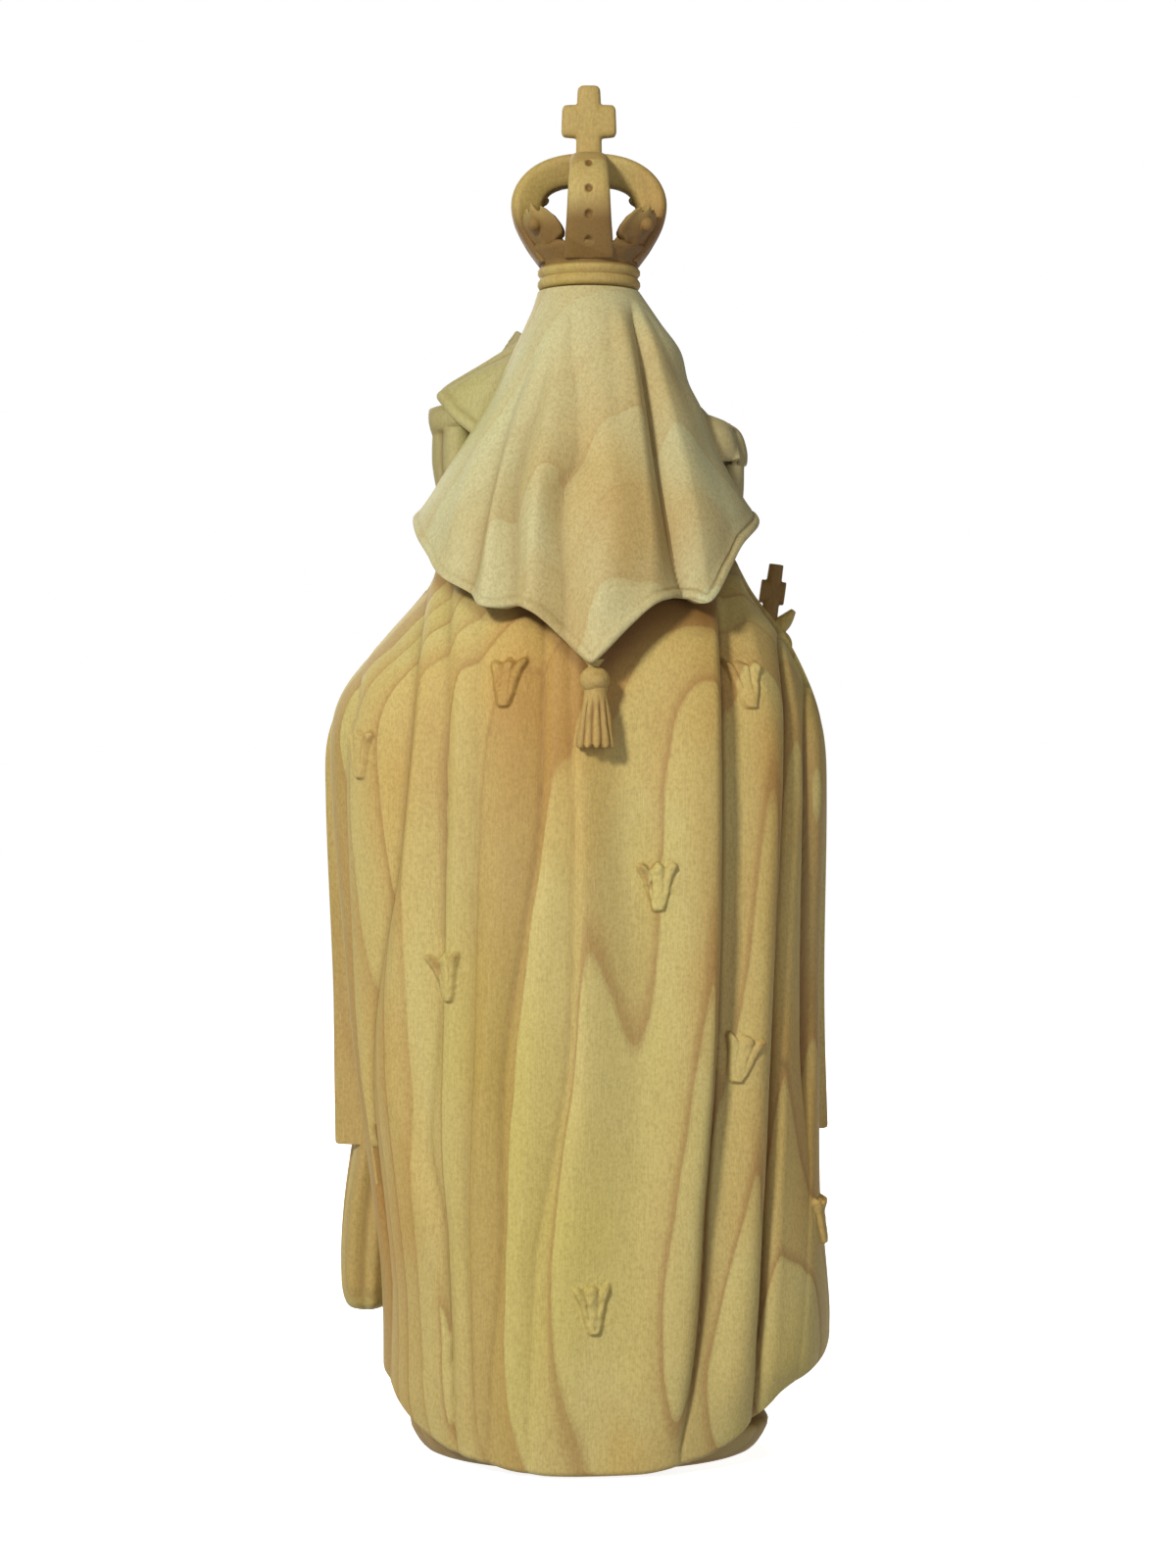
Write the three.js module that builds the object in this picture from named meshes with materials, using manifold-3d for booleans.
// A carved wooden standing Madonna with the Child on her right arm, made as separately carved pieces that
// are glued and dowelled together. Millimetres, +Z up. She faces -Y, so her left side is +X, and the back of
// her mantle is +Y. The origin is the centre of the plinth's underside.
import * as THREE from 'three';
import { LoftGeometry } from 'three/addons/geometries/LoftGeometry.js';
import { mergeVertices } from 'three/addons/utils/BufferGeometryUtils.js';
import Module from 'manifold-3d';

const wasm = await Module();
wasm.setup();

// ---------------------------------------------------------------- driving dimensions
const HEIGHT = 300; // floor to the tip of the crown's cross
const PLINTH_HEIGHT = 7;
const PLINTH = { side: 40, back: 33, front: 37 };
const GLUE_GAP = 0.35; // clearance between two glued faces
const DOWEL_GAP = 0.2; // clearance round a dowel
const MANTLE_TOP = 207;
const HOOD_TOP = 254;
const NECK_SEAT = 205; // where the neck stands on the body block
const CROWN_SEAT = 254.4; // underside of the crown's band
const CROWN_RADIUS = 11.3; // outside of the crown's band
const CROWN_HEIGHT = HEIGHT - CROWN_SEAT;
const CHILD_AT = { x: -38, y: -28 }; // the child's upright axis
const CHILD_NECK = 160; // the child's head leans outwards from here
const CHILD_LEAN = 8; // degrees
const CHILD_CROWN_SEAT = 171.4;
const CHILD_CROWN_SCALE = 0.36;
const CHILD_CROSS = { scale: 0.92, narrow: 0.62 };
const COAT = { front: 34, thickness: 3.2 }; // mantle fronts, over the forearms

// ---------------------------------------------------------------- colours
const PALE_WOOD = 0xc9b27a;
const WARM_WOOD = 0xb89a62;
const DOWEL_WOOD = 0xa98654;

// ---------------------------------------------------------------- small tools
const degrees = THREE.MathUtils.degToRad;
const lerp = THREE.MathUtils.lerp;
const smoothstep = THREE.MathUtils.smoothstep;

// A smooth function through [at, value] pairs, held level past both ends.
function track(...points) {
  const last = points.length - 1;
  const slope = (i, j) => (points[j][1] - points[i][1]) / (points[j][0] - points[i][0]);
  return (at) => {
    if (at <= points[0][0]) return points[0][1];
    if (at >= points[last][0]) return points[last][1];
    const i = points.findIndex((p) => p[0] > at) - 1;
    const span = points[i + 1][0] - points[i][0];
    const t = (at - points[i][0]) / span;
    const startSlope = i > 0 ? slope(i - 1, i + 1) : slope(i, i + 1);
    const endSlope = i < last - 1 ? slope(i, i + 2) : slope(i, i + 1);
    const t2 = t * t;
    const t3 = t2 * t;
    return (
      (2 * t3 - 3 * t2 + 1) * points[i][1] +
      (t3 - 2 * t2 + t) * span * startSlope +
      (3 * t2 - 2 * t3) * points[i + 1][1] +
      (t3 - t2) * span * endSlope
    );
  };
}

// A closed geometry with its shared vertices merged and its collapsed triangles dropped.
function welded(geometry) {
  const bare = new THREE.BufferGeometry();
  bare.setAttribute('position', geometry.getAttribute('position'));
  bare.setIndex(geometry.index);
  const merged = mergeVertices(bare, 1e-3);
  const index = merged.index.array;
  const kept = [];
  for (let i = 0; i < index.length; i += 3) {
    const [a, b, c] = [index[i], index[i + 1], index[i + 2]];
    if (a !== b && b !== c && a !== c) kept.push(a, b, c);
  }
  merged.setIndex(kept);
  return merged;
}

// A manifold-3d solid from a closed geometry.
function solid(geometry) {
  const merged = welded(geometry);
  return new wasm.Manifold(
    new wasm.Mesh({
      numProp: 3,
      vertProperties: new Float32Array(merged.getAttribute('position').array),
      triVerts: new Uint32Array(merged.index.array),
    })
  );
}

function geometryOf(made) {
  const mesh = made.getMesh();
  const geometry = new THREE.BufferGeometry();
  geometry.setAttribute('position', new THREE.BufferAttribute(new Float32Array(mesh.vertProperties), 3));
  geometry.setIndex(new THREE.BufferAttribute(new Uint32Array(mesh.triVerts), 1));
  geometry.computeVertexNormals();
  return geometry;
}

// The same solid with every vertex pushed out along its normal, to cut a neighbour with clearance.
function grown(made, gap = GLUE_GAP) {
  const geometry = geometryOf(made);
  const position = geometry.getAttribute('position');
  const normal = geometry.getAttribute('normal');
  for (let i = 0; i < position.count; i++) {
    position.setXYZ(
      i,
      position.getX(i) + gap * normal.getX(i),
      position.getY(i) + gap * normal.getY(i),
      position.getZ(i) + gap * normal.getZ(i)
    );
  }
  return solid(geometry);
}

// A solid cut by its neighbours with clearance, keeping its largest body.
function carved(made, ...neighbours) {
  const cut = neighbours.reduce((left, near) => left.subtract(grown(near)).subtract(near), made);
  return cut.decompose().sort((a, b) => b.volume() - a.volume())[0];
}

function joined(...solids) {
  return solids.reduce((all, next) => all.add(next));
}

// A solid lofted through closed rings of points, wound so that its faces point outwards.
function loft(rings) {
  const [first, second] = [rings[0], rings[1]];
  const normal = new THREE.Vector3();
  const along = new THREE.Vector3();
  first.forEach((point, i) => {
    normal.add(new THREE.Vector3().crossVectors(point, first[(i + 1) % first.length]));
    along.add(second[i]).sub(point);
  });
  const wound = normal.dot(along) > 0 ? rings : rings.map((ring) => [...ring].reverse());
  return solid(new LoftGeometry(wound, { capStart: true, capEnd: true }));
}

// A cloth-like shell: outer and inner surfaces of (u, v), each from 0 to 1, joined round their edges.
function shell(outer, inner, columns, rows) {
  const rings = [];
  for (let j = 0; j <= rows; j++) {
    const ring = [];
    for (let i = 0; i <= columns; i++) ring.push(outer(i / columns, j / rows));
    for (let i = columns; i >= 0; i--) ring.push(inner(i / columns, j / rows));
    rings.push(ring);
  }
  return loft(rings);
}

// A rounded limb: rings of the given radii square to a smooth path.
function limb(path, radii, sides = 12, steps = 6) {
  const curve = new THREE.CatmullRomCurve3(path.map((p) => new THREE.Vector3(...p)));
  const radius = track(...radii.map((r, i) => [i / (radii.length - 1), r]));
  const chord = curve.getPoint(1).sub(curve.getPoint(0)).normalize();
  const seed = Math.abs(chord.z) > 0.6 ? new THREE.Vector3(0, 1, 0) : new THREE.Vector3(0, 0, 1);
  const rings = [];
  for (let j = 0; j <= steps; j++) {
    const t = j / steps;
    const centre = curve.getPoint(t);
    const along = curve.getTangent(t);
    const side = new THREE.Vector3().crossVectors(along, seed).normalize();
    const up = new THREE.Vector3().crossVectors(side, along).normalize();
    const ring = [];
    for (let i = 0; i < sides; i++) {
      const angle = (i / sides) * 2 * Math.PI;
      ring.push(
        centre
          .clone()
          .addScaledVector(side, radius(t) * Math.cos(angle))
          .addScaledVector(up, radius(t) * Math.sin(angle))
      );
    }
    rings.push(ring);
  }
  return loft(rings);
}

function ellipsoid(centre, radii, across = 16, down = 10) {
  const geometry = new THREE.SphereGeometry(1, across, down);
  geometry.rotateX(Math.PI / 2);
  geometry.scale(...radii);
  geometry.translate(...centre);
  return solid(geometry);
}

function capsule(from, to, radius, sides = 8) {
  const start = new THREE.Vector3(...from);
  const end = new THREE.Vector3(...to);
  const geometry = new THREE.CapsuleGeometry(radius, start.distanceTo(end), 2, sides);
  const turn = new THREE.Quaternion().setFromUnitVectors(
    new THREE.Vector3(0, 1, 0),
    end.clone().sub(start).normalize()
  );
  geometry.applyQuaternion(turn);
  geometry.translate(...start.add(end).multiplyScalar(0.5).toArray());
  return solid(geometry);
}

// A straight dowel between two points.
function dowel(from, to, radius) {
  const start = new THREE.Vector3(...from);
  const end = new THREE.Vector3(...to);
  const geometry = new THREE.CylinderGeometry(radius, radius, start.distanceTo(end), 12);
  geometry.applyQuaternion(
    new THREE.Quaternion().setFromUnitVectors(new THREE.Vector3(0, 1, 0), end.clone().sub(start).normalize())
  );
  geometry.translate(...start.add(end).multiplyScalar(0.5).toArray());
  return solid(geometry);
}

// An ellipse with its own half-axis on each side. Angle 0 is her left (+X), 90 the back, 180 her right and
// 270 the front.
function ellipsePoint(angle, z, axes, inset = 0) {
  const cosine = Math.cos(degrees(angle));
  const sine = Math.sin(degrees(angle));
  const across = cosine > 0 ? axes.left(z) : axes.right(z);
  const deep = sine > 0 ? axes.back(z) : axes.front(z);
  const normal = new THREE.Vector2(cosine / across, sine / deep).normalize();
  return new THREE.Vector3(across * cosine - inset * normal.x, deep * sine - inset * normal.y, z);
}

// Folds are soft ridges (rise above 0) and valleys (rise below 0) that run down a surface. line gives where
// each runs, as X against height, and width is half its breadth.
function foldRise(folds, angle, z, axes) {
  let rise = 0;
  for (const fold of folds) {
    const x = fold.line(z);
    const across = x > 0 ? axes.left(z) : axes.right(z);
    const at = Math.acos(THREE.MathUtils.clamp(x / across, -0.999, 0.999));
    const away = ((degrees(angle) - at) * across) / fold.width;
    rise += fold.rise(z) * Math.exp(-away * away);
  }
  return rise;
}

// ---------------------------------------------------------------- mantle
const MANTLE_AXES = {
  left: track(
    [0, 41.5], [7, 43.5], [14, 45.2], [28, 45.4], [40, 46], [60, 48.4], [72, 50], [90, 52.2], [110, 54],
    [130, 55.8], [150, 57], [160, 56.4], [168, 53], [178, 44.5], [188, 36], [197, 31], [203, 26], [207, 20]
  ),
  right: track(
    [0, 42], [10, 47], [20, 52.3], [28, 53], [35, 52.8], [57, 51], [85, 50.8], [100, 50.6], [122, 51.4],
    [144, 52.4], [157, 51.6], [168, 48.6], [178, 43.5], [188, 36], [197, 31], [203, 26], [207, 20]
  ),
  back: track(
    [0, 38], [30, 39], [100, 38], [140, 37.5], [160, 36.5], [171, 34.8], [180, 32], [190, 28], [200, 22],
    [207, 14]
  ),
  front: track([0, 30], [150, 32], [170, 28], [190, 20], [207, 14]),
};
const MANTLE_SPAN = [-12, 188];
const MANTLE_HEM = track(
  [-12, 20], [5, 17], [16, 15], [29, 9.5], [47, 4], [60, 2.2], [72, 0.9], [105, 0.9], [117, 2.2], [126, 3.6],
  [134, 6.6], [142, 11], [147, 15], [160, 18.7], [170, 21.6], [178, 24.7], [188, 28]
);
const MANTLE_FOLDS = [
  {
    line: track([10, -20], [20, -22.3], [56, -26.6], [96, -29], [127, -29.8], [190, -29.4]),
    rise: track([3, -0.4], [20, -2.4], [60, -4.4], [150, -4.8], [190, -3.6]),
    width: 2.8,
  },
  {
    line: track([5, -35], [28, -38], [54, -40.6], [85, -42.3], [116, -43.8], [158, -45.4], [176, -44]),
    rise: track([3, -1.2], [20, -3.2], [50, -5.2], [150, -5.2], [178, -1.6]),
    width: 2.8,
  },
  {
    line: track([10, -12], [54, -19], [145, -23], [190, -22]),
    rise: track([0, 0.6], [55, 1], [145, 1.6], [190, 0.6]),
    width: 7,
  },
  {
    line: track([6, -4], [64, -9.5], [100, -10], [154, -6.5], [190, -5]),
    rise: track([0, -0.3], [60, -1.3], [160, -1.5], [185, -0.2]),
    width: 8,
  },
  {
    line: track([10, 13], [45, 11.5], [86, 4.6], [132, 3.2], [170, 4]),
    rise: track([0, -0.4], [60, -0.9], [132, -0.4], [170, 0]),
    width: 3.6,
  },
  {
    line: track([10, 21.3], [40, 19.2], [86, 18], [117, 13.5], [137, 10.4], [173, 9.4]),
    rise: track([0, -0.4], [60, -1], [173, -0.8]),
    width: 3.8,
  },
  {
    line: track([0, 28], [53, 31], [69, 34], [95, 32], [148, 30], [184, 30]),
    rise: track([0, -0.4], [60, -1.1], [184, -0.6]),
    width: 3.6,
  },
  {
    line: track([37, 43.9], [74, 47.5], [95, 47], [127, 41.2], [148, 38.7], [190, 35.5]),
    rise: track([10, -0.4], [40, -1.2], [150, -1.3], [185, -0.6]),
    width: 3.4,
  },
];

const mantleThickness = (angle, z) =>
  lerp(4.4, 7.5, smoothstep(z, 4, 30)) * lerp(0.55, 1, smoothstep(90 - Math.abs(angle - 90), -12, 20));

// Tulips stand in low relief on the mantle, at these X and Z.
const TULIPS = [
  [17.2, 167.5],
  [-34.4, 167.5],
  [48.9, 152.5],
  [-14.5, 124.7],
  [30.2, 105.4],
  [-33.4, 87.8],
  [-0.8, 36.4],
  [-50.4, 51],
];
const TULIP = { half: 4, tall: 11, rise: 0.9, root: 3 };

function tulip(x, z) {
  const { half, tall, rise, root } = TULIP;
  const shape = new THREE.Shape();
  shape.moveTo(0, -0.5 * tall);
  shape.lineTo(0.75 * half, -0.25 * tall);
  shape.lineTo(0.7 * half, 0.1 * tall);
  shape.lineTo(half, 0.5 * tall);
  shape.lineTo(0.35 * half, 0.25 * tall);
  shape.lineTo(0, 0.5 * tall);
  shape.lineTo(-0.35 * half, 0.25 * tall);
  shape.lineTo(-half, 0.5 * tall);
  shape.lineTo(-0.7 * half, 0.1 * tall);
  shape.lineTo(-0.75 * half, -0.25 * tall);
  shape.closePath();
  const across = x > 0 ? MANTLE_AXES.left(z) : MANTLE_AXES.right(z);
  const angle = THREE.MathUtils.radToDeg(Math.acos(x / across));
  const at = ellipsePoint(angle, z, MANTLE_AXES, -foldRise(MANTLE_FOLDS, angle, z, MANTLE_AXES));
  const facing = ellipsePoint(angle, z, MANTLE_AXES, -1).sub(ellipsePoint(angle, z, MANTLE_AXES));
  const geometry = new THREE.ExtrudeGeometry(shape, { depth: rise + root, bevelEnabled: false });
  geometry.translate(0, 0, -root);
  geometry.rotateX(Math.PI / 2);
  geometry.rotateZ(Math.PI + Math.atan2(-facing.x, facing.y));
  geometry.translate(...at.toArray());
  return solid(geometry);
}

function mantleBack() {
  const place = (u, v) => {
    const angle = lerp(...MANTLE_SPAN, u);
    const z = lerp(MANTLE_HEM(angle), MANTLE_TOP, v);
    return [angle, z, foldRise(MANTLE_FOLDS, angle, z, MANTLE_AXES)];
  };
  const outer = (u, v) => {
    const [angle, z, rise] = place(u, v);
    return ellipsePoint(angle, z, MANTLE_AXES, -rise);
  };
  const inner = (u, v) => {
    const [angle, z, rise] = place(u, v);
    return ellipsePoint(angle, z, MANTLE_AXES, mantleThickness(angle, z) - Math.min(0, rise));
  };
  return joined(shell(outer, inner, 46, 10), ...TULIPS.map(([x, z]) => tulip(x, z)));
}

// The front of the mantle on one side: over the upper arm, then hanging from the forearm.
const frontSheet = (side) => ({
  axes: {
    left: track(
      [64, 56.2], [80, 56.6], [100, 57], [144, 59.2], [157, 58.6], [168, 53.5], [178, 45.5], [188, 37],
      [197, 32], [207, 21]
    ),
    right: track(
      [64, 53], [100, 52.4], [144, 53.4], [157, 52.8], [168, 49.5], [178, 44.5], [188, 36.5], [197, 32],
      [207, 21]
    ),
    back: () => 30,
    front: track(
      [64, COAT.front - 4], [140, COAT.front], [157, COAT.front - 1], [170, 29], [190, 21], [207, 14.5]
    ),
  },
  near: track([64, -10], [207, -13]),
  far: track([64, -42], [120, -50], [157, -62], [180, -70], [207, -80]),
  hem: side > 0 ? 65.5 : 69,
});

function mantleFront(side) {
  const sheet = frontSheet(side);
  const turned = (angle) => (side > 0 ? angle : 180 - angle);
  const at = (u, v, inset) => {
    const z = lerp(sheet.hem, MANTLE_TOP - 1, v);
    const wave = 0.9 * Math.sin(u * 3 * Math.PI) * (1 - v);
    const angle = turned(lerp(sheet.near(z), sheet.far(z), u));
    return ellipsePoint(angle, z, sheet.axes, inset - wave);
  };
  return shell((u, v) => at(u, v, 0), (u, v) => at(u, v, COAT.thickness), 10, 10);
}

// The lower fold at her left, between the mantle's back and its front strip.
const SIDE_FOLD_AXES = {
  left: track([26, 51.5], [31, 55.3], [38, 55.6], [57, 53.4], [80, 52.4], [112, 51]),
  right: () => 50,
  back: () => 30,
  front: () => 29,
};

function mantleSideFold() {
  const at = (u, v, inset) => {
    const z = lerp(26.4 + 3 * u * u, 112, v);
    return ellipsePoint(lerp(-7, -34, u), z, SIDE_FOLD_AXES, inset);
  };
  return shell((u, v) => at(u, v, 0), (u, v) => at(u, v, 5), 8, 8);
}

// ---------------------------------------------------------------- gown
const GOWN_AXES = {
  side: track(
    [7, 38], [30, 36], [80, 33], [120, 29], [146, 26.4], [165, 31], [185, 30], [196, 22], [205, 12]
  ),
  front: track(
    [7, 36.5], [30, 34.8], [80, 31.4], [120, 27.4], [146, 23.6], [165, 26], [180, 24], [192, 17], [205, 9.5]
  ),
};

// How much the gown's side follows the mantle's inside rather than its own outline: 1 at the back and 0 in
// front.
const underMantle = (angle) => smoothstep(90 - Math.abs(angle - 90), -40, -8);

function gownPoint(angle, z) {
  const inset = 2;
  const mix = underMantle(angle);
  const axes = {
    left: (at) => lerp(GOWN_AXES.side(at), MANTLE_AXES.left(at) - inset, mix),
    right: (at) => lerp(GOWN_AXES.side(at), MANTLE_AXES.right(at) - inset, mix),
    back: (at) => MANTLE_AXES.back(at) - inset,
    front: GOWN_AXES.front,
  };
  const pleats = (1 - mix) * smoothstep(z, 150, 60) * 1.1 * Math.cos(degrees(angle - 270) * 11);
  return ellipsePoint(angle, z, axes, -pleats);
}

function gown() {
  const rings = [];
  const bottom = PLINTH_HEIGHT + GLUE_GAP;
  for (let j = 0; j <= 8; j++) {
    const z = lerp(bottom, NECK_SEAT, j / 8);
    const ring = [];
    for (let i = 0; i < 44; i++) ring.push(gownPoint(-90 + (i / 44) * 360, z));
    rings.push(ring);
  }
  return loft(rings);
}

// ---------------------------------------------------------------- hood
const HOOD_AXES = {
  left: track(
    [171, 41], [190, 40], [203, 38.2], [212, 33.2], [220, 28], [231, 21.6], [243, 15.8], [250, 12.6],
    [254, 11.2]
  ),
  right: track(
    [171, 41], [190, 38.5], [203, 36.8], [212, 32], [220, 28], [228, 25], [234, 22], [241, 20.2], [247, 16],
    [254, 11.2]
  ),
  back: track(
    [171, 40.4], [182, 39.6], [190, 37.4], [203, 33], [212, 29.6], [220, 26.4], [231, 22.2], [243, 17.6],
    [250, 13.8], [254, 11.2]
  ),
  front: track([190, 8], [215, 13], [225, 15], [243, 15.5], [250, 13.8], [254, 11.2]),
};
const HOOD_HEM = track(
  [0, 204], [8, 203], [25, 197], [38, 190.5], [50, 186], [56, 183.2], [62, 182.4], [68, 182.8], [74, 181],
  [81, 176.4], [89.6, 170.9], [91.6, 170.9], [101.5, 178], [110, 183], [118, 184.6], [124, 184.6], [129, 183.8],
  [140, 191], [151, 197.5], [172, 202.5], [180, 204]
);
const HOOD_FOLDS = [
  {
    line: track([186, -20.6], [195, -18.7], [205, -16.9], [222, -14.6], [240, -11.6], [252, -9]),
    rise: track([184, -2.4], [200, -3.2], [225, -3], [245, -1.4], [254, -0.4]),
    width: 2.6,
  },
  {
    line: track([175, 5.2], [188, 5.4], [200, 6.2], [209, 5.6], [214, 3], [229, 2.6], [240, 4]),
    rise: track([174, -1.6], [195, -2], [213, -2.4], [222, -0.9], [240, -0.3]),
    width: 4,
  },
  {
    line: track([182, 16.4], [195, 15.8], [209, 15.6], [226, 11.6], [245, 6.5]),
    rise: track([178, -1.2], [200, -1.3], [215, -1], [240, 0]),
    width: 2.6,
  },
  {
    line: track([188, 25], [205, 21.6], [225, 17], [245, 9]),
    rise: track([180, -1], [210, -1.1], [240, 0]),
    width: 2.8,
  },
  {
    line: track([172, -1.6], [190, -3.8], [202, -5.6], [214, -5], [235, -4]),
    rise: track([171, 1.3], [190, 1.5], [204, 1.3], [222, 0.8], [245, 0.2]),
    width: 6,
  },
];
const HOOD_THICKNESS = 3;

// Where the hood's front edge stands, as an angle, from the hem (0) to the crown (1).
const hoodEdge = track([0, 2], [0.3, -20], [0.5, -42], [0.8, -50], [1, -80]);

function hood() {
  const place = (u, v) => {
    const hemZ = HOOD_HEM(lerp(0, 180, u));
    return [lerp(hoodEdge(v), 180 - hoodEdge(v), u), lerp(hemZ, HOOD_TOP, v)];
  };
  const at = (u, v, inset) => {
    const [angle, z] = place(u, v);
    const rise = inset > 0 ? 0 : foldRise(HOOD_FOLDS, angle, z, HOOD_AXES);
    return ellipsePoint(angle, z, HOOD_AXES, inset - rise);
  };
  return shell((u, v) => at(u, v, 0), (u, v) => at(u, v, HOOD_THICKNESS), 26, 8);
}

// ---------------------------------------------------------------- tassel, shoulder folds, clasp
const TASSEL_AT = { x: -1.4, y: 38.2, knob: 167.2, top: 164.8, bottom: 153.2 };

function tassel() {
  const knob = ellipsoid([TASSEL_AT.x, TASSEL_AT.y, TASSEL_AT.knob], [3.1, 3, 3.1], 12, 8);
  const fringe = limb(
    [
      [TASSEL_AT.x, TASSEL_AT.y, TASSEL_AT.top + 0.8],
      [TASSEL_AT.x, TASSEL_AT.y, TASSEL_AT.bottom],
    ],
    [2.3, 3.2, 3.8],
    14,
    3
  );
  return joined(knob, fringe);
}

// A cushioned flap of cloth between four corners, in order round its edge.
function flap(corners, bulge, thickness) {
  const [a, b, c, d] = corners.map((corner) => new THREE.Vector3(...corner));
  const normal = new THREE.Vector3().crossVectors(b.clone().sub(a), d.clone().sub(a)).normalize();
  if (normal.y < 0) normal.negate();
  const at = (u, v, side) => {
    const near = a.clone().lerp(b, u);
    const dome = Math.sqrt(Math.max(0.1, Math.sin(Math.PI * u) * Math.sin(Math.PI * v)));
    const lift = 0.5 * bulge * Math.sin(Math.PI * v) + side * 0.5 * thickness * dome;
    return near.lerp(d.clone().lerp(c, u), v).addScaledVector(normal, lift);
  };
  return shell((u, v) => at(u, v, 1), (u, v) => at(u, v, -1), 5, 5);
}

// The veil's front edges, turned outwards beside the face and drawn down to the clasp. Each is a lapel
// between an edge beside the face and an edge over the shoulder, with flaps that stand up behind it.
const SHOULDER_FOLDS = {
  left: {
    face: [
      [12, -10.5, 246], [14.5, -13.5, 236], [16, -15, 226], [16, -17, 214], [13, -21, 204], [8.5, -24, 195],
    ],
    shoulder: [
      [14, -6, 246], [21, -7, 237.5], [29.5, -7, 229.5], [31.5, -9, 218], [28, -14, 207], [15.5, -22, 193],
    ],
    flaps: [[[17.5, -1, 242], [32.2, -3, 231.8], [24.6, 2.6, 224.4], [20, 2, 234]]],
    roll: [[34.6, -6.4, 226.6], [33, -5.8, 226], [28.6, -5.4, 224.8]],
    fall: [[31.4, -7, 224.5], [31, -6.5, 218], [32.6, -6, 211]],
  },
  right: {
    face: [
      [-12, -10.5, 246], [-14.5, -13.5, 236], [-16, -15, 226], [-16, -17, 214], [-13, -21, 204],
      [-8.5, -24, 195],
    ],
    shoulder: [
      [-14, -6, 243.4], [-18.5, -7, 234.5], [-25.5, -7, 225], [-30, -9, 215.5], [-28, -14, 206],
      [-15.5, -22, 193],
    ],
    flaps: [
      [[-21.5, -1, 228.5], [-30.8, -3, 226.2], [-31.4, -3, 216.6], [-26.8, 0, 216.4]],
      [[-30, -5, 226], [-34.2, -6, 223.8], [-34, -6, 214.6], [-30.2, -5, 216.8]],
    ],
    roll: [[-22, -4, 227], [-26, -3, 225.6], [-30.4, -4, 225]],
    fall: [[-30, -7, 219], [-30.4, -6, 213], [-32, -5, 208]],
  },
};
const LAPEL_THICKNESS = 3.6;

function lapel(face, shoulder) {
  const [near, far] = [face, shoulder].map(
    (edge) => new THREE.CatmullRomCurve3(edge.map((point) => new THREE.Vector3(...point)))
  );
  const at = (u, v, side) => {
    const point = near.getPoint(v).lerp(far.getPoint(v), u);
    point.y += side * 0.5 * LAPEL_THICKNESS;
    return point;
  };
  return shell((u, v) => at(u, v, -1), (u, v) => at(u, v, 1), 5, 9);
}

function shoulderFold({ face, shoulder, flaps, roll, fall }) {
  return joined(
    lapel(face, shoulder),
    limb(roll, [2.3, 2.1], 8, 3),
    limb(fall, [4, 3.4, 1.4], 8, 4),
    ...flaps.map((corners) => flap(corners, 3, 4))
  );
}

function mantleClasp() {
  const shape = new THREE.Shape().absellipse(0, 0, 7.5, 5, 0, 2 * Math.PI);
  const geometry = new THREE.ExtrudeGeometry(shape, {
    depth: 2,
    curveSegments: 10,
    bevelThickness: 0.8,
    bevelSize: 0.8,
    bevelSegments: 1,
  });
  geometry.rotateX(Math.PI / 2);
  geometry.rotateX(degrees(-28));
  geometry.translate(0, -21.4, 190.5);
  return solid(geometry);
}

// ---------------------------------------------------------------- head
const HEAD_AT = [-0.6, -3, 236.6];

function head() {
  const skull = ellipsoid([HEAD_AT[0], HEAD_AT[1] + 1, HEAD_AT[2] + 1.6], [12, 13.2, 14.8], 16, 9);
  const jaw = ellipsoid([HEAD_AT[0], HEAD_AT[1] - 3, HEAD_AT[2] - 7.5], [8.6, 9, 9], 12, 7);
  const nose = capsule(
    [HEAD_AT[0], HEAD_AT[1] - 12, HEAD_AT[2] - 0.4],
    [HEAD_AT[0], HEAD_AT[1] - 13, HEAD_AT[2] - 6.2],
    1.4,
    6
  );
  const neck = limb(
    [
      [0, 0, NECK_SEAT + GLUE_GAP],
      [0, -0.5, 214],
      [-0.6, -1.5, 232],
    ],
    [7.8, 6.6, 6.6],
    14,
    3
  );
  return joined(skull, jaw, nose, neck);
}

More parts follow.
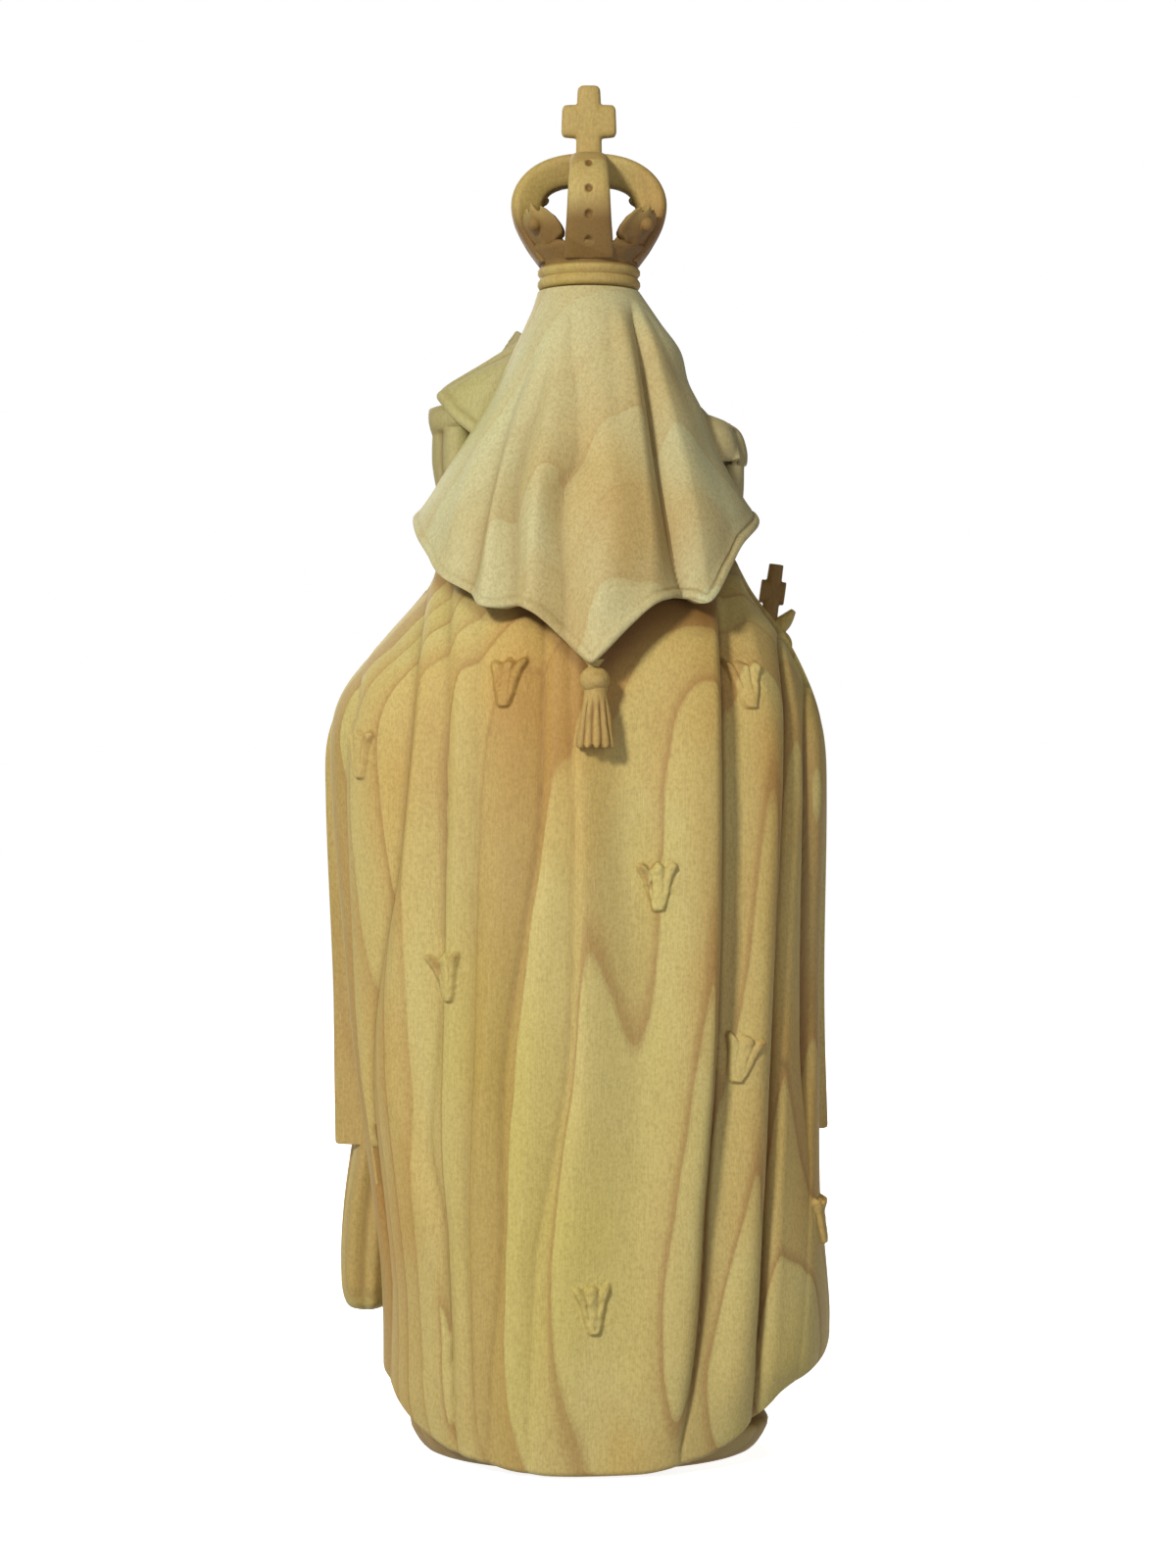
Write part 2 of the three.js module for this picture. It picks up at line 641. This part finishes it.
// ---------------------------------------------------------------- crown
// A closed crown at the given scale, with its axis on the Z axis and its band's underside at height 0.
function crownParts(scale, sides) {
  const r = (v) => v * scale;
  const bandProfile = [
    [8.4, 0],
    [10.4, 0],
    [CROWN_RADIUS, 0.7],
    [CROWN_RADIUS, 1.9],
    [10.7, 2.6],
    [CROWN_RADIUS, 3.3],
    [CROWN_RADIUS, 4.5],
    [10.4, 5.2],
    [11.6, 7.6],
    [13.6, 10.2],
    [11.6, 10.8],
    [9.2, 7.4],
    [8.4, 4.5],
    [8.4, 0],
  ];
  const band = solid(
    new THREE.LatheGeometry(
      bandProfile.map((p) => new THREE.Vector2(r(p[0]), r(p[1]))),
      sides
    ).rotateX(Math.PI / 2)
  );

  const hoop = () => {
    const outline = new THREE.Shape();
    outline.moveTo(r(10.9), r(5.9));
    outline.bezierCurveTo(r(14.6), r(10), r(17.4), r(14.2), r(17.2), r(18.7));
    outline.bezierCurveTo(r(17), r(25.2), r(9.5), r(30.2), 0, r(30.2));
    outline.bezierCurveTo(r(-9.5), r(30.2), r(-17), r(25.2), r(-17.2), r(18.7));
    outline.bezierCurveTo(r(-17.4), r(14.2), r(-14.6), r(10), r(-10.9), r(5.9));
    outline.lineTo(r(-7.2), r(9));
    outline.bezierCurveTo(r(-10.6), r(13), r(-11.4), r(17.5), r(-9.8), r(20));
    outline.bezierCurveTo(r(-8), r(22.4), r(-4.5), r(22.8), 0, r(22.8));
    outline.bezierCurveTo(r(4.5), r(22.8), r(8), r(22.4), r(9.8), r(20));
    outline.bezierCurveTo(r(11.4), r(17.5), r(10.6), r(13), r(7.2), r(9));
    outline.closePath();
    const width = r(9.4);
    const settings = { depth: width, curveSegments: 3, bevelEnabled: false };
    const geometry = new THREE.ExtrudeGeometry(outline, settings);
    geometry.translate(0, 0, -width / 2);
    geometry.rotateX(Math.PI / 2);
    return geometry;
  };
  const arches = joined(solid(hoop()), solid(hoop().rotateZ(Math.PI / 2)));

  const crossShape = new THREE.Shape();
  const [stem, arm, armLow, armHigh, top] = [r(2.6), r(6.1), r(3.6), r(10.5), r(CROWN_HEIGHT - 30.4)];
  crossShape.moveTo(-stem, 0);
  crossShape.lineTo(stem, 0);
  crossShape.lineTo(stem, armLow);
  crossShape.lineTo(arm, armLow);
  crossShape.lineTo(arm, armHigh - r(0.6));
  crossShape.lineTo(stem, armHigh);
  crossShape.lineTo(stem, top);
  crossShape.lineTo(-stem, top);
  crossShape.lineTo(-stem, armHigh);
  crossShape.lineTo(-arm, armHigh - r(0.6));
  crossShape.lineTo(-arm, armLow);
  crossShape.lineTo(-stem, armLow);
  crossShape.closePath();
  const bevel = r(0.5);
  const cross = solid(
    new THREE.ExtrudeGeometry(crossShape, {
      depth: r(3.4) - 2 * bevel,
      bevelThickness: bevel,
      bevelSize: bevel,
      bevelOffset: -bevel,
      bevelSegments: 1,
    })
      .translate(0, 0, -r(3.4) / 2 + bevel)
      .rotateX(Math.PI / 2)
      .translate(0, 0, r(30.4))
  );

  // One leaf stands between each pair of arches: a stem, a cupped leaf and a bead on it.
  const leafShape = new THREE.Shape();
  leafShape.moveTo(r(-1.6), 0);
  leafShape.lineTo(r(1.6), 0);
  leafShape.bezierCurveTo(r(1.8), r(2), r(3.8), r(2.6), r(3.8), r(5));
  leafShape.lineTo(r(2.4), r(7.4));
  leafShape.lineTo(r(1.1), r(6.8));
  leafShape.lineTo(0, r(8.2));
  leafShape.lineTo(r(-1.1), r(6.8));
  leafShape.lineTo(r(-2.4), r(7.4));
  leafShape.lineTo(r(-3.8), r(5));
  leafShape.bezierCurveTo(r(-3.8), r(2.6), r(-1.8), r(2), r(-1.6), 0);
  const leaf = (turn) => {
    const blade = solid(
      new THREE.ExtrudeGeometry(leafShape, { depth: r(2), curveSegments: 3, bevelEnabled: false })
        .rotateX(Math.PI / 2)
        .translate(0, r(1), 0)
    );
    const bead = new THREE.SphereGeometry(r(1.7), 8, 6).translate(0, r(-1.5), r(4.6));
    const made = geometryOf(blade.add(solid(bead)));
    made.rotateX(degrees(14));
    made.translate(0, r(-12.6), r(9.4));
    made.rotateZ(turn);
    return solid(made);
  };
  return { band, arches, cross, leaf };
}

// ---------------------------------------------------------------- arms and hands
// A closed hand: a palm, four fingers side by side and a thumb, reaching from the wrist towards a point.
function hand(wrist, reach, size, thumbSide) {
  const start = new THREE.Vector3(...wrist);
  const along = new THREE.Vector3(...reach).sub(start).normalize();
  const up = new THREE.Vector3(0, 0, 1).addScaledVector(along, -along.z).normalize();
  const place = (forward, rise) => {
    const point = start.clone().addScaledVector(along, forward * size);
    return point.addScaledVector(up, rise * size).toArray();
  };
  const pieces = [capsule(place(-0.9, 0), place(0.55, 0), 0.42 * size, 10)];
  for (let i = 0; i < 4; i++) {
    const rise = (i - 1.5) * 0.24;
    const tip = place(1.35 - 0.08 * Math.abs(i - 1.4), rise * 0.9);
    pieces.push(capsule(place(0.5, rise), tip, 0.15 * size, 6));
  }
  pieces.push(capsule(place(0.15, 0.3 * thumbSide), place(0.85, 0.52 * thumbSide), 0.17 * size, 6));
  return joined(...pieces);
}

const SLEEVES = {
  left: { path: [[45, -14, 151], [36, -27, 148], [21, -39, 146]], radii: [9.5, 10, 9.6] },
  right: { path: [[-41.5, -12, 146], [-41, -25, 138], [-36.5, -37, 130]], radii: [8.4, 8.6, 8.4] },
};
const HANDS = {
  left: { wrist: [18, -41, 145.2], reach: [2, -46, 141], size: 9 },
  right: { wrist: [-34.5, -39, 127.6], reach: [-22, -49, 121], size: 9 },
};

// ---------------------------------------------------------------- child
function childRobe() {
  const { x, y } = CHILD_AT;
  const torso = limb([[x, y, 159.5], [x, y, 150], [x + 0.8, y, 137]], [4.2, 7.2, 8, 9], 14, 5);
  const knees = [[x, y + 1, 139.5], [x + 6, y - 10, 140], [x + 11, y - 17, 136.5]];
  const lap = limb(knees, [8.4, 7.6, 6.8], 14, 4);
  const fall = [[x + 10.5, y - 15.5, 138], [x + 14, y - 18, 126], [x + 15.5, y - 19, 117]];
  const shins = limb(fall, [6.4, 6.8, 7.4], 14, 4);
  return joined(torso, lap, shins);
}

// Leans a solid outwards from the child's neck.
function leaned(made) {
  const geometry = geometryOf(made);
  geometry.translate(-CHILD_AT.x, -CHILD_AT.y, -CHILD_NECK);
  geometry.rotateY(degrees(-CHILD_LEAN));
  geometry.translate(CHILD_AT.x, CHILD_AT.y, CHILD_NECK);
  return solid(geometry);
}

function childHead() {
  const { x, y } = CHILD_AT;
  const skull = ellipsoid([x, y, 166.8], [7.2, 7.8, 8.8], 12, 8);
  const neck = limb([[x, y, 158], [x, y, 163]], [3.4, 3.4], 10, 1);
  return joined(skull, neck);
}

function childArm(side) {
  const { x, y } = CHILD_AT;
  const path =
    side > 0
      ? [[x + 6.5, y - 1, 154.5], [x + 11, y - 8, 149], [x + 13, y - 14, 151.5]]
      : [[x - 6, y - 1, 154.5], [x - 8.5, y - 8, 151], [x - 6.5, y - 13, 157]];
  const sleeve = limb(path, [3.6, 3.4, 3.1], 10, 5);
  const tip = path[2];
  return joined(sleeve, ellipsoid([tip[0], tip[1] - 1.2, tip[2] + 2.4], [1.9, 1.9, 3], 8, 6));
}

function childFoot(side) {
  const { x, y } = CHILD_AT;
  return capsule([x + 15 + side * 2.9, y - 18, 113.6], [x + 15 + side * 3.3, y - 23.4, 112.7], 1.9, 8);
}

// ---------------------------------------------------------------- plinth
function plinth() {
  const axes = {
    left: () => PLINTH.side,
    right: () => PLINTH.side,
    back: () => PLINTH.back,
    front: () => PLINTH.front,
  };
  const profile = [
    [0, 4.8],
    [1, 3.2],
    [3.4, 1.5],
    [PLINTH_HEIGHT - 1, 0.5],
    [PLINTH_HEIGHT, 1],
  ];
  const rings = profile.map(([z, inset]) => {
    const ring = [];
    for (let i = 0; i < 36; i++) ring.push(ellipsePoint((i / 36) * 360, z, axes, inset));
    return ring;
  });
  return loft(rings);
}

// ---------------------------------------------------------------- assembly
const root = new THREE.Group();

function add(name, made, colour = PALE_WOOD) {
  const material = new THREE.MeshStandardMaterial({ color: colour, roughness: 0.72, metalness: 0 });
  const mesh = new THREE.Mesh(geometryOf(made), material);
  mesh.name = name;
  root.add(mesh);
}

const shift = (made, x, y, z) => solid(geometryOf(made).translate(x, y, z));

// Dowels first, because the pieces that they join are drilled for them.
const dowels = {
  base_dowel_left: { from: [14, 6, 2], to: [14, 6, 22], radius: 3 },
  base_dowel_right: { from: [-14, 6, 2], to: [-14, 6, 22], radius: 3 },
  neck_dowel: { from: [0, 0, 192], to: [0, -0.4, 218], radius: 2.5 },
  crown_dowel: { from: [0, 0, 246], to: [0, 0, 258.6], radius: 2.5 },
  child_dowel: { from: [-37, -28.6, 138], to: [-38.2, -31, 128.4], radius: 1.6 },
};
const drilled = (made, ...names) =>
  names.reduce((left, name) => {
    const { from, to, radius } = dowels[name];
    const start = new THREE.Vector3(...from);
    const end = new THREE.Vector3(...to);
    const along = end.clone().sub(start).normalize().multiplyScalar(DOWEL_GAP);
    return left.subtract(dowel(start.sub(along).toArray(), end.add(along).toArray(), radius + DOWEL_GAP));
  }, made);

const headRaw = head();
const backRaw = carved(mantleBack(), headRaw);
const hoodRaw = carved(hood(), headRaw, backRaw);
const gownRaw = carved(gown(), backRaw);

add('mantle_back', backRaw);
add('gown', drilled(gownRaw, 'base_dowel_left', 'base_dowel_right', 'neck_dowel'), WARM_WOOD);
add('plinth', drilled(carved(plinth(), backRaw), 'base_dowel_left', 'base_dowel_right'), WARM_WOOD);
add('hood', hoodRaw);
add('tassel', carved(tassel(), backRaw, hoodRaw));

const frontLeft = carved(mantleFront(1), backRaw, gownRaw, hoodRaw);
const frontRight = carved(mantleFront(-1), backRaw, gownRaw, hoodRaw);
add('mantle_front_left', frontLeft);
add('mantle_front_right', frontRight);
add('mantle_side_fold', carved(mantleSideFold(), backRaw, gownRaw, frontLeft));

const foldLeft = shoulderFold(SHOULDER_FOLDS.left);
const foldRight = shoulderFold(SHOULDER_FOLDS.right);
add('shoulder_fold_left', carved(foldLeft, hoodRaw, headRaw, frontLeft, backRaw, gownRaw));
add('shoulder_fold_right', carved(foldRight, hoodRaw, headRaw, frontRight, backRaw, gownRaw));
add('mantle_clasp', carved(mantleClasp(), frontLeft, frontRight, gownRaw));

const crown = crownParts(1, 20);
const crownBand = shift(crown.band, 0, 0, CROWN_SEAT);
const crownArches = carved(shift(crown.arches, 0, 0, CROWN_SEAT), crownBand);
add('head', drilled(carved(headRaw, crownBand, gownRaw), 'neck_dowel', 'crown_dowel'), PALE_WOOD);
add('crown_band', crownBand, WARM_WOOD);
add('crown_arches', crownArches, WARM_WOOD);
add('crown_cross', carved(shift(crown.cross, 0, 0, CROWN_SEAT), crownArches), WARM_WOOD);
for (let i = 0; i < 4; i++) {
  const leaf = shift(crown.leaf(degrees(45 + 90 * i)), 0, 0, CROWN_SEAT);
  add('crown_leaf_' + (i + 1), carved(leaf, crownBand, crownArches), WARM_WOOD);
}

const robe = carved(childRobe(), gownRaw, frontRight, backRaw);
const sleeve = ({ path, radii }) => limb(path, radii, 14, 6);
const sleeveLeft = carved(sleeve(SLEEVES.left), frontLeft, gownRaw, robe, backRaw);
const sleeveRight = carved(sleeve(SLEEVES.right), frontRight, gownRaw, robe, backRaw);
add('child_robe', drilled(robe, 'child_dowel'), PALE_WOOD);
add('sleeve_left', sleeveLeft);
add('sleeve_right', drilled(sleeveRight, 'child_dowel'));
const handLeft = hand(HANDS.left.wrist, HANDS.left.reach, HANDS.left.size, 1);
const handRight = hand(HANDS.right.wrist, HANDS.right.reach, HANDS.right.size, 1);
add('hand_left', carved(handLeft, sleeveLeft, robe, gownRaw));
add('hand_right', carved(handRight, sleeveRight, robe, gownRaw));

const smallHeadRaw = carved(leaned(childHead()), robe, frontRight);
const smallCrown = crownParts(CHILD_CROWN_SCALE, 12);
const onChild = (made, lift = 0) => leaned(shift(made, CHILD_AT.x, CHILD_AT.y, CHILD_CROWN_SEAT + lift));
const smallBand = onChild(smallCrown.band);
const lobe = limb([[-42, -28, 181], [-44.6, -28, 182.6], [-47, -28, 185.4]], [2, 1.6, 0.9], 8, 3);
const smallArches = carved(joined(onChild(smallCrown.arches), lobe), smallBand);
const crossLift = 30.4 * (CHILD_CROWN_SCALE - CHILD_CROSS.scale);
const crossShape = geometryOf(crownParts(CHILD_CROSS.scale, 12).cross).scale(CHILD_CROSS.narrow, 1, 1);
const smallCross = onChild(solid(crossShape), crossLift);
add('child_head', carved(smallHeadRaw, smallBand, smallArches));
add('child_crown_band', smallBand, WARM_WOOD);
add('child_crown_arches', smallArches, WARM_WOOD);
add('child_crown_cross', carved(smallCross, smallArches), WARM_WOOD);

const armLeft = carved(childArm(1), robe, frontRight);
const armRight = carved(childArm(-1), robe, frontRight);
add('child_arm_left', armLeft);
add('child_arm_right', armRight);
const orb = ellipsoid([CHILD_AT.x + 13.4, CHILD_AT.y - 15.8, 159.6], [3.6, 3.6, 3.6], 12, 8);
add('child_orb', carved(orb, armLeft, robe));
const feet = { left: childFoot(1), right: childFoot(-1) };
add('child_foot_left', carved(feet.left, robe));
add('child_foot_right', carved(feet.right, robe));

for (const [name, { from, to, radius }] of Object.entries(dowels)) {
  add(name, dowel(from, to, radius), DOWEL_WOOD);
}

export default root;
